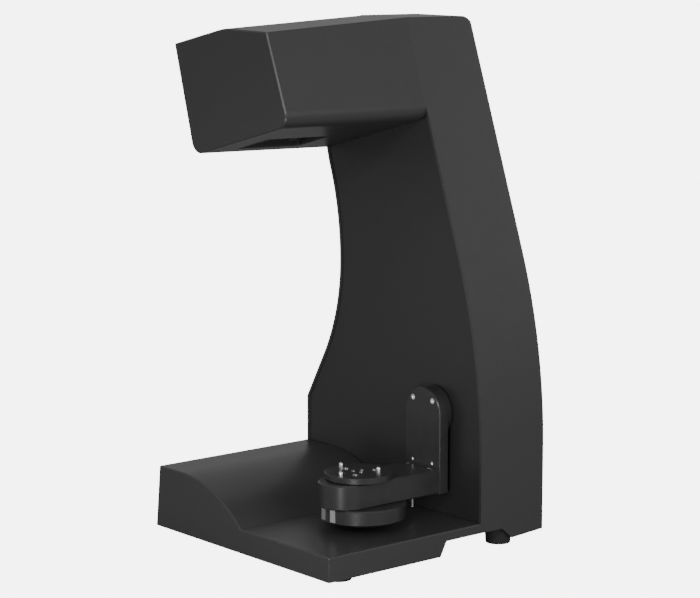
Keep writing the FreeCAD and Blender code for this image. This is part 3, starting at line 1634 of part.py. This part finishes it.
def arm_floor():
    body = new_body("arm_floor")
    gap = s.arm_wall + s.fit_gap
    low = arm_bottom - s.overrun
    high = arm_bottom + s.arm_floor_thickness
    pad(body, "XY_Plane", arm_bottom, high, arm_outline(gap))
    cut(body, "XY_Plane", low, high + s.overrun,
        disc(arm_x, platform_y, s.platform_shaft_radius + s.overrun),
        disc(arm_x, platform_pinion_y, s.platform_motor_radius / 2 + s.overrun),
        disc(arm_x, arm_back - s.index_pin_inset, s.index_pin_radius + s.seat_gap))


def index_pin():
    body = new_body("index_pin")
    pad(body, "XY_Plane", arm_bottom - s.index_pin_length, arm_bottom + s.arm_floor_thickness,
        disc(arm_x, arm_back - s.index_pin_inset, s.index_pin_radius))


# Drive housing under the arm

housing_rim = arm_bottom - s.housing_wall_drop
housing_low = arm_bottom - s.housing_drop
cap_low = arm_bottom - s.cap_thickness
dome_centre = housing_rim + root(s.dome_radius * s.dome_radius - s.housing_radius * s.housing_radius)


def bowl_reach(radius, level):
    """How far from its axis the dome is at a level."""
    height = dome_centre - level
    return root(radius * radius - height * height)


def drive_housing():
    body = new_body("drive_housing")
    place(body, arm_x, housing_y, nought)
    shell = s.housing_shell
    inner = s.housing_radius - shell
    inner_dome = s.dome_radius - shell
    inner_rim = dome_centre - root(inner_dome * inner_dome - inner * inner)
    turn(body, "XZ_Plane", [
        corner(nought, housing_low),
        corner(bowl_reach(s.dome_radius, housing_low), housing_low, arc=s.dome_radius),
        corner(s.housing_radius, housing_rim),
        corner(s.housing_radius, cap_low),
        corner(inner, cap_low),
        corner(inner, inner_rim, arc=-inner_dome),
        corner(bowl_reach(inner_dome, housing_low + shell), housing_low + shell),
        corner(nought, housing_low + shell),
    ], "V_Axis")


def housing_cap():
    body = new_body("housing_cap")
    solid = pad(body, "XY_Plane", cap_low, arm_bottom, disc(arm_x, housing_y, s.housing_radius))
    rim = edges_where(solid, lambda edge: at_level(edge, "Z", arm_bottom))
    dress(body, "Chamfer", solid, rim, s.arm_bevel)
    outer = s.platform_bearing_radius + s.boss_wall
    pad(body, "XY_Plane", cap_low - s.boss_depth, cap_low, disc(arm_x, platform_y, outer))
    cut(body, "XY_Plane", cap_low - s.boss_depth - s.overrun, cap_low,
        disc(arm_x, platform_y, s.platform_bearing_radius + s.seat_gap))
    cut(body, "XY_Plane", cap_low - s.overrun, arm_bottom + s.overrun,
        disc(arm_x, platform_y, s.platform_shaft_radius + s.fit_gap),
        disc(arm_x, platform_pinion_y, s.platform_motor_shaft_radius + s.fit_gap))


def housing_clips():
    """Two flat metal clips that hang from the arm beside the housing's wall."""
    clips = []
    for step in range(2):
        angle = -s.clip_angle + s.clip_step * step
        clip = doc.addObject("Part::Box", "housing_clip_%d" % step)
        bind(clip, "Length", s.clip_thickness)
        bind(clip, "Width", s.clip_width)
        bind(clip, "Height", s.clip_length)
        reach = s.housing_radius + s.seat_gap
        x = arm_x + reach * cosine(angle) + s.clip_width / 2 * sine(angle)
        y = housing_y + reach * sine(angle) - s.clip_width / 2 * cosine(angle)
        place(clip, x, y, arm_bottom - s.clip_length, angle, V(0, 0, 1))
        clips.append(clip)
    group = doc.addObject("Part::Compound", "housing_clips")
    group.Label = "housing_clips"
    group.Links = clips
    pieces.append(group)


def platform_motor():
    body = new_body("platform_motor")
    low = cap_low - s.platform_motor_height
    pad(body, "XY_Plane", low, cap_low, disc(arm_x, platform_pinion_y, s.platform_motor_radius))
    cut(body, "XY_Plane", cap_low - s.platform_motor_bore - s.overrun, cap_low + s.overrun,
        disc(arm_x, platform_pinion_y, s.platform_motor_shaft_radius + s.seat_gap))


def platform_bearings():
    body = new_body("platform_bearings")
    place(body, arm_x, platform_y, nought)
    bore = s.platform_shaft_radius + s.seat_gap
    width = s.platform_bearing_width
    for low in (cap_low - width, arm_top - s.arm_wall - width):
        outline = bearing_outline(bore, s.platform_bearing_radius, low, width)
        turn(body, "XZ_Plane", swapped(outline), "V_Axis")


# Turning platform

def around(radius, angle):
    """A place round the platform's axis."""
    return arm_x + radius * cosine(angle), platform_y + radius * sine(angle)


def platform_screw_places():
    return [around(s.platform_screw_circle, s.platform_screw_turn - 120 * step) for step in range(3)]


def centre_screw_places():
    return [around(s.centre_screw_circle, 120 * step - 15) for step in range(3)]


def pin_places():
    """Two pins side by side and one across the axis from them, turned about the axis."""
    back = -s.pin_pair_back
    places = []
    for x, y in ((back, s.pin_pair_side), (back, -s.pin_pair_side), (s.pin_single, nought)):
        ahead = x * cosine(s.pin_turn) - y * sine(s.pin_turn)
        aside = x * sine(s.pin_turn) + y * cosine(s.pin_turn)
        places.append((arm_x + ahead, platform_y + aside))
    return places


def platform():
    """A disc with sunk screw heads and a fine groove round the foot of each pin."""
    body = new_body("platform")
    solid = pad(body, "XY_Plane", platform_low, platform_top, disc(arm_x, platform_y, s.platform_radius))
    levels = (platform_top, platform_low)
    rim = edges_where(solid, lambda edge: any(at_level(edge, "Z", level) for level in levels))
    dress(body, "Chamfer", solid, rim, s.platform_bevel)
    cut(body, "XY_Plane", platform_low - s.overrun, platform_low + s.platform_shaft_grip,
        disc(arm_x, platform_y, s.platform_shaft_radius + s.seat_gap))
    outer_level = platform_top + s.platform_head_lift - s.m3_head_height
    outer_sinks = [disc(x, y, s.m3_head_radius + s.seat_gap) for x, y in platform_screw_places()]
    cut(body, "XY_Plane", outer_level, platform_top + s.overrun, *outer_sinks)
    outer_holes = [disc(x, y, s.m3_radius + s.seat_gap) for x, y in platform_screw_places()]
    cut(body, "XY_Plane", platform_low - s.overrun, outer_level + s.overrun, *outer_holes)
    inner_level = platform_top + s.platform_head_lift - s.m2_head_height
    inner_sinks = [disc(x, y, s.m2_head_radius + s.seat_gap) for x, y in centre_screw_places()]
    cut(body, "XY_Plane", inner_level, platform_top + s.overrun, *inner_sinks)
    pin_holes = [disc(x, y, s.pin_shank_radius + s.seat_gap) for x, y in pin_places()]
    cut(body, "XY_Plane", platform_top - s.pin_seat, platform_top + s.overrun, *pin_holes)
    feet = [disc(x, y, (s.pin_radius + s.pin_shank_radius) / 2) for x, y in pin_places()]
    grooves = [disc(x, y, s.pin_radius + s.seat_gap) for x, y in pin_places()]
    cut(body, "XY_Plane", platform_top - s.pin_groove, platform_top + s.overrun, *feet, *grooves)


def platform_screws():
    level = platform_top + s.platform_head_lift - s.m3_head_height
    screws("platform_screws", "XY_Plane", level, 1, level - platform_low, platform_screw_places(), "m3")


def centre_screws():
    level = platform_top + s.platform_head_lift - s.m2_head_height
    body = new_body("centre_screws")
    pad(body, "XY_Plane", level, level + s.m2_head_height,
        *[disc(x, y, s.m2_head_radius) for x, y in centre_screw_places()])
    cut(body, "XY_Plane", level + s.m2_head_height / 2, level + s.m2_head_height,
        *[hexagon(x, y, s.m2_socket_radius) for x, y in centre_screw_places()])


def locating_pins():
    """Three shouldered pins with domed tops that a model holder drops over."""
    body = new_body("locating_pins")
    high = platform_top + s.pin_height
    solid = pad(body, "XY_Plane", platform_top, high, *[disc(x, y, s.pin_radius) for x, y in pin_places()])
    tops = edges_where(solid, lambda edge: at_level(edge, "Z", high))
    dress(body, "Fillet", solid, tops, s.pin_radius - s.seat_gap)
    pad(body, "XY_Plane", platform_top - s.pin_seat, platform_top + s.overrun,
        *[disc(x, y, s.pin_shank_radius) for x, y in pin_places()])


def platform_shaft():
    body = new_body("platform_shaft")
    pad(body, "XY_Plane", cap_low - s.boss_depth, platform_low + s.platform_shaft_grip,
        disc(arm_x, platform_y, s.platform_shaft_radius))


platform_gear_low = arm_bottom + s.platform_gear_lift
platform_gear_high = platform_gear_low + s.platform_gear_thickness


def platform_gear():
    bore = s.platform_shaft_radius + s.seat_gap
    phase = math.pi / 2
    low = platform_gear_low
    wheel = gear_shape(PLATFORM_GEAR_TEETH, s.platform_module, phase, low, platform_gear_high, bore, "Z")
    new_gear("platform_gear", wheel, arm_x, platform_y, nought)


def platform_pinion():
    phase = math.pi / PLATFORM_PINION_TEETH - math.pi / 2
    low = platform_gear_low
    wheel = gear_shape(PLATFORM_PINION_TEETH, s.platform_module, phase, low, platform_gear_high, None, "Z")
    end = cap_low - s.platform_motor_bore
    shaft = Part.makeCylinder(s.platform_motor_shaft_radius.value, low.value - end.value, V(0, 0, end.value))
    new_gear("platform_pinion", wheel.fuse(shaft), arm_x, platform_pinion_y, nought)


# Control board under the hump

def board_standoffs():
    body = new_body("board_standoffs")
    high = plate_top + s.standoff_height
    pad(body, "XY_Plane", plate_top, high, *[disc(x, y, s.standoff_radius) for x, y in board_places()])
    cut(body, "XY_Plane", high - s.clinch_height, high + s.overrun,
        *[disc(x, y, s.m3_radius + s.seat_gap) for x, y in board_places()])


def control_board():
    body = new_body("control_board")
    x0 = s.side_lean - half + s.board_inset
    y0 = front + s.board_front
    x1 = x0 + board_width
    y1 = y0 + s.board_length
    low = plate_top + s.standoff_height
    high = low + s.board_thickness
    pad(body, "XY_Plane", low, high, box(x0, x1, y0, y1, s.bezel_wall))
    cut(body, "XY_Plane", low - s.overrun, high + s.overrun,
        *[disc(x, y, s.m3_radius + s.fit_gap) for x, y in board_places()])
    chip_x = x0 + board_width / 2
    chip_y = y0 + s.board_length / 2
    pad(body, "XY_Plane", high, high + s.chip_height, centred_box(chip_x, chip_y, s.chip_width, s.chip_width))
    header_y = y1 - s.header_width
    pad(body, "XY_Plane", high, high + s.header_height,
        centred_box(chip_x, header_y, s.chip_width, s.header_width),
        centred_box(chip_x, y0 + s.header_width, s.chip_width, s.header_width))


def board_screws():
    level = plate_top + s.standoff_height + s.board_thickness
    grip = s.board_thickness + s.clinch_height - s.overrun
    screws("board_screws", "XY_Plane", level, 1, grip, board_places(), "m3")


# Every piece, then the checks and the files

base_shell()
base_plate()
feet()
foot_screws()
base_plate_screws()
column_shell()
column_panel()
head_shell()
rear_cover()
rear_cover_screws()
power_inlet()
usb_socket()
switch_body()
switch_rocker()
window_bezel()
window_glass()
head_frame()
projector()
camera("left_camera", camera_places[0])
camera("right_camera", camera_places[1])
lens_barrels("projector_lens", [(s.projector_window_offset, nought)],
             s.projector_lens_radius, s.projector_lens_length)
lens_barrels("camera_lenses", camera_places, s.camera_lens_radius, s.camera_lens_length)
lens_glasses()
column_frame()
frame_screws()
drive_screws()
bearing_housing()
swing_bearings()
swing_motor()
swing_gear()
swing_pinion()
swing_shaft()
shaft_collar()
swing_hub()
bracket_plate()
bracket_cover()
hub_screws()
bracket_screws()
mount_screws()
arm_body()
arm_block()
arm_top_screws()
arm_floor()
index_pin()
drive_housing()
housing_cap()
housing_clips()
platform_motor()
platform_bearings()
platform()
platform_screws()
centre_screws()
locating_pins()
platform_shaft()
platform_gear()
platform_pinion()
board_standoffs()
control_board()
board_screws()
doc.recompute()

for item in doc.Objects:
    if "Invalid" in item.State or "Error" in item.State:
        raise RuntimeError("%s failed: %s" % (item.Name, item.State))
for piece in pieces:
    if piece.Shape.isNull() or not piece.Shape.isValid() or not piece.Shape.Solids:
        raise RuntimeError("%s has no sound solid" % piece.Label)

os.makedirs("parts", exist_ok=True)
for piece in pieces:
    piece.Shape.exportStep("parts/%s.step" % piece.Label)
    print(piece.Label, len(piece.Shape.Solids), round(piece.Shape.Volume))
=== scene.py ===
import json
import math

import bpy
from mathutils import Matrix, Vector

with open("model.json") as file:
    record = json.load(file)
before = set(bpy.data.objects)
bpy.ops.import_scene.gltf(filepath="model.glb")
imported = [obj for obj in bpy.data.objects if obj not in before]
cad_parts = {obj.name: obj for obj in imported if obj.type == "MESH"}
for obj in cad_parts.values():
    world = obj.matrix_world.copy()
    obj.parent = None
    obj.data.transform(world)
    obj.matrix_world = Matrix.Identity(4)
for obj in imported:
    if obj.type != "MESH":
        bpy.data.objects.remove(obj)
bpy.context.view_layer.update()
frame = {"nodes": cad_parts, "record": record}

# Desktop 3D scanner: finishes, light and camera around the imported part.
# Metres, in the part's own frame. Every shape shown is the part's own, so no piece is added.

white = (1.0, 1.0, 1.0, 1.0)


# Camera: the photograph's place, its three axes and its lens, in millimetres

camera_place = (1.5783, -1.32255, 0.5513)
camera_right = (0.6428, 0.7660, 0.0)
camera_up = (-0.1192, 0.1000, 0.9877)
camera_back = (0.7566, -0.6349, 0.1556)
sensor_width = 36.0
focal_length = 113.77
nearest_seen = 0.1
furthest_seen = 30.0


# Studio. The backdrop's glow is seen by the camera alone and lights nothing.

backdrop_glow = 6.0
sky_strength = 0.44
floor_size = 60.0
floor_grey = 0.36
floor_roughness = 0.9
all_round = 180.0
narrow = 80.0

# name, place, target, width, height, watts, spread in degrees
studio_lights = (
    ("key", (2.0, 0.1, 0.7), (0.0, 0.0, 0.22), 1.2, 1.2, 15.0, all_round),
    ("front", (-0.5, -0.85, 0.14), (0.0, -0.05, 0.16), 0.45, 0.25, 0.66, all_round),
    ("top", (0.0, 0.1, 2.2), (0.0, 0.0, 0.2), 1.5, 1.5, 2.5, all_round),
    ("strip", (0.52, -0.72, 0.07), (0.05, -0.1, 0.07), 0.14, 0.12, 0.45, narrow),
    ("back", (0.6, 2.2, 0.8), (0.0, 0.1, 0.25), 1.4, 1.4, 7.0, all_round),
    ("edge", (1.13, -1.63, 1.13), (0.03, -0.1, 0.44), 0.3, 0.3, 10.0, all_round),
)


def set_camera():
    lens = bpy.data.cameras.new("photo_camera")
    lens.sensor_width = sensor_width
    lens.lens = focal_length
    lens.clip_start = nearest_seen
    lens.clip_end = furthest_seen
    camera = bpy.data.objects.new("photo_camera", lens)
    bpy.context.scene.collection.objects.link(camera)
    axes = Matrix((camera_right, camera_up, camera_back))
    camera.matrix_world = Matrix.Translation(camera_place) @ axes.transposed().to_4x4()
    bpy.context.scene.camera = camera


def soft_light(name, place, target, width, height, watts, spread):
    """A soft rectangular light that faces a target and isn't seen itself."""
    lamp = bpy.data.lights.new(name, "AREA")
    lamp.shape = "RECTANGLE"
    lamp.size = width
    lamp.size_y = height
    lamp.energy = watts
    lamp.spread = math.radians(spread)
    light = bpy.data.objects.new(name, lamp)
    bpy.context.scene.collection.objects.link(light)
    light.location = place
    light.visible_camera = False
    towards = Vector(target) - Vector(place)
    light.rotation_euler = towards.to_track_quat("-Z", "Y").to_euler()


def set_studio():
    """Even white all round, brighter where the camera sees it, and the soft lights."""
    world = bpy.data.worlds.new("studio")
    bpy.context.scene.world = world
    world.use_nodes = True
    sky = world.node_tree.nodes["Background"]
    sky.inputs["Color"].default_value = white
    seen = add_node(world, "ShaderNodeLightPath")
    strength = add_node(world, "ShaderNodeMath", Operation="MULTIPLY_ADD")
    strength.inputs[1].default_value = backdrop_glow
    strength.inputs[2].default_value = sky_strength
    join(world, seen.outputs["Is Camera Ray"], strength.inputs[0])
    join(world, strength.outputs["Value"], sky.inputs["Strength"])
    for light in studio_lights:
        soft_light(*light)


def set_floor():
    bpy.ops.object.select_all(action="DESELECT")
    bpy.ops.mesh.primitive_plane_add(size=floor_size, location=(0.0, 0.0, 0.0))
    floor = bpy.context.object
    floor.name = "floor"
    pale = new_material("pale_floor", (floor_grey, floor_grey, floor_grey), floor_roughness)
    shader = shader_of(pale)
    shader.inputs["Specular IOR Level"].default_value = 0.0
    shader.inputs["Emission Color"].default_value = white
    seen = add_node(pale, "ShaderNodeLightPath")
    glow = add_node(pale, "ShaderNodeMath", Operation="MULTIPLY")
    glow.inputs[1].default_value = backdrop_glow
    join(pale, seen.outputs["Is Camera Ray"], glow.inputs[0])
    join(pale, glow.outputs["Value"], shader.inputs["Emission Strength"])
    floor.data.materials.append(pale)


# Materials, all from nodes on Object coordinates. Noise scales are cells in a metre.

def shader_of(material):
    return material.node_tree.nodes["Principled BSDF"]


def new_material(name, colour, roughness, metal=0.0):
    """A material with its even values set on the shader itself."""
    material = bpy.data.materials.new(name)
    material.use_nodes = True
    shader = shader_of(material)
    shader.inputs["Base Color"].default_value = (*colour, 1.0)
    shader.inputs["Roughness"].default_value = roughness
    shader.inputs["Metallic"].default_value = metal
    return material


def add_node(material, kind, **values):
    """A node with its inputs, or its own settings, given by name."""
    node = material.node_tree.nodes.new(kind)
    for name, value in values.items():
        if name in node.inputs:
            node.inputs[name].default_value = value
        else:
            setattr(node, name.lower(), value)
    return node


def join(material, source, target):
    material.node_tree.links.new(source, target)


def grain(material, scale, detail, stretch=(1.0, 1.0, 1.0), harshness=0.6):
    """A noise on Object coordinates, stretched along an axis where a finish has a direction."""
    place = add_node(material, "ShaderNodeTexCoord")
    mapping = add_node(material, "ShaderNodeMapping")
    mapping.inputs["Scale"].default_value = stretch
    noise = add_node(material, "ShaderNodeTexNoise", Scale=scale, Detail=detail, Roughness=harshness)
    join(material, place.outputs["Object"], mapping.inputs["Vector"])
    join(material, mapping.outputs["Vector"], noise.inputs["Vector"])
    return noise


def tint(material, noise, dark, light, all_dark=0.3, all_light=0.7):
    """Colour that drifts between two shades with a noise."""
    ramp = add_node(material, "ShaderNodeValToRGB")
    first, last = ramp.color_ramp.elements
    first.position = all_dark
    first.color = (*dark, 1.0)
    last.position = all_light
    last.color = (*light, 1.0)
    join(material, noise.outputs["Fac"], ramp.inputs["Fac"])
    join(material, ramp.outputs["Color"], shader_of(material).inputs["Base Color"])


def gloss(material, noise, smooth, rough):
    """Roughness that drifts between two values with a noise."""
    drift = add_node(material, "ShaderNodeMapRange")
    drift.inputs["To Min"].default_value = smooth
    drift.inputs["To Max"].default_value = rough
    join(material, noise.outputs["Fac"], drift.inputs["Value"])
    join(material, drift.outputs["Result"], shader_of(material).inputs["Roughness"])


def relief(material, noise, depth, strength=0.5):
    """Fine relief of a real depth, in metres."""
    bump = add_node(material, "ShaderNodeBump", Strength=strength, Distance=depth)
    join(material, noise.outputs["Fac"], bump.inputs["Height"])
    join(material, bump.outputs["Normal"], shader_of(material).inputs["Normal"])


def textured_paint(name, dark, light, smooth, rough, sheen=0.4, depth=0.00001):
    """Matt fine-texture paint, as on a powder-coated or sprayed plastic housing."""
    material = new_material(name, light, rough)
    shader_of(material).inputs["Specular IOR Level"].default_value = sheen
    tint(material, grain(material, scale=900.0, detail=4.0), dark, light)
    gloss(material, grain(material, scale=45.0, detail=3.0), smooth, rough)
    relief(material, grain(material, scale=2600.0, detail=3.0), depth, strength=0.6)
    return material


def anodised(name, dark, light, smooth, rough, metal=0.25, depth=0.000005):
    """Satin black anodised metal with faint machining marks."""
    material = new_material(name, light, rough, metal)
    tint(material, grain(material, scale=60.0, detail=3.0), dark, light)
    gloss(material, grain(material, scale=700.0, detail=3.0), smooth, rough)
    relief(material, grain(material, scale=1800.0, detail=2.0), depth)
    return material


def bright_metal(name, dark, light, smooth, rough, metal=1.0, depth=0.000008):
    """Bare metal with fine marks of the tool."""
    material = new_material(name, light, rough, metal)
    tint(material, grain(material, scale=300.0, detail=3.0), dark, light)
    gloss(material, grain(material, scale=900.0, detail=3.0), smooth, rough)
    relief(material, grain(material, scale=2500.0, detail=2.0), depth)
    return material


def moulded(name, dark, light, smooth, rough, depth=0.00002):
    """Plain moulded rubber."""
    material = new_material(name, light, rough)
    tint(material, grain(material, scale=120.0, detail=3.0), dark, light)
    gloss(material, grain(material, scale=400.0, detail=2.0), smooth, rough)
    relief(material, grain(material, scale=1500.0, detail=2.0), depth)
    return material


def clear_glass(name, colour, smooth, rough, bending=1.5):
    material = new_material(name, colour, smooth)
    shader = shader_of(material)
    shader.inputs["Transmission Weight"].default_value = 1.0
    shader.inputs["IOR"].default_value = bending
    gloss(material, grain(material, scale=80.0, detail=2.0), smooth, rough)
    return material


def circuit_board(name, dark, light, track, smooth, rough, track_width=0.03):
    """Green solder mask with paler tracks under it."""
    material = new_material(name, light, smooth)
    place = add_node(material, "ShaderNodeTexCoord")
    tracks = add_node(material, "ShaderNodeTexBrick", Scale=220.0)
    tracks.inputs["Mortar Size"].default_value = track_width
    tracks.inputs["Color1"].default_value = (*dark, 1.0)
    tracks.inputs["Color2"].default_value = (*light, 1.0)
    tracks.inputs["Mortar"].default_value = (*track, 1.0)
    join(material, place.outputs["Object"], tracks.inputs["Vector"])
    join(material, tracks.outputs["Color"], shader_of(material).inputs["Base Color"])
    gloss(material, grain(material, scale=500.0, detail=2.0), smooth, rough)
    return material


# The finish of each material slot: its darkest and lightest shade, and its least and most roughness

finishes = {
    "casing": textured_paint(
        "casing_paint", (0.036, 0.036, 0.037), (0.043, 0.043, 0.044), 0.3, 0.38),
    # The panel's colour is darker than the casing's: partly a darker plastic, partly painted shade
    # of its recess under the head.
    "panel": textured_paint(
        "panel_paint_with_painted_shade", (0.020, 0.020, 0.022), (0.024, 0.024, 0.026), 0.42, 0.5),
    "arm_metal": anodised(
        "arm_anodised", (0.034, 0.034, 0.036), (0.041, 0.041, 0.043), 0.26, 0.34),
    "rubber": moulded(
        "foot_rubber", (0.010, 0.010, 0.010), (0.016, 0.016, 0.016), 0.7, 0.85),
    "screw": bright_metal(
        "bright_screw", (0.86, 0.86, 0.87), (0.94, 0.94, 0.95), 0.25, 0.4),
    "black_screw": bright_metal(
        "black_screw", (0.035, 0.035, 0.036), (0.05, 0.05, 0.052), 0.3, 0.42),
    "steel": bright_metal(
        "ground_steel", (0.62, 0.62, 0.63), (0.72, 0.72, 0.73), 0.4, 0.52),
    "sheet": bright_metal(
        "zinc_sheet", (0.50, 0.51, 0.53), (0.66, 0.67, 0.69), 0.32, 0.45),
    "gear": bright_metal(
        "cut_brass", (0.62, 0.47, 0.23), (0.72, 0.57, 0.30), 0.25, 0.36),
    "glass": clear_glass(
        "window_glass", (0.93, 0.96, 0.97), 0.02, 0.05),
    "optic_black": anodised(
        "optic_black", (0.012, 0.012, 0.013), (0.018, 0.018, 0.019), 0.4, 0.5),
    "board": circuit_board(
        "circuit_board", (0.008, 0.055, 0.024), (0.010, 0.066, 0.030), (0.03, 0.14, 0.06),
        0.3, 0.4),
    "motor": bright_metal(
        "motor_case", (0.12, 0.12, 0.125), (0.18, 0.18, 0.185), 0.35, 0.5),
}

slot_of = {row["node"]: row["material_slot"] for row in frame["record"]["subparts"]}
for name, node in frame["nodes"].items():
    for place in node.material_slots:
        place.material = finishes[slot_of[name]]

set_camera()
set_studio()
set_floor()
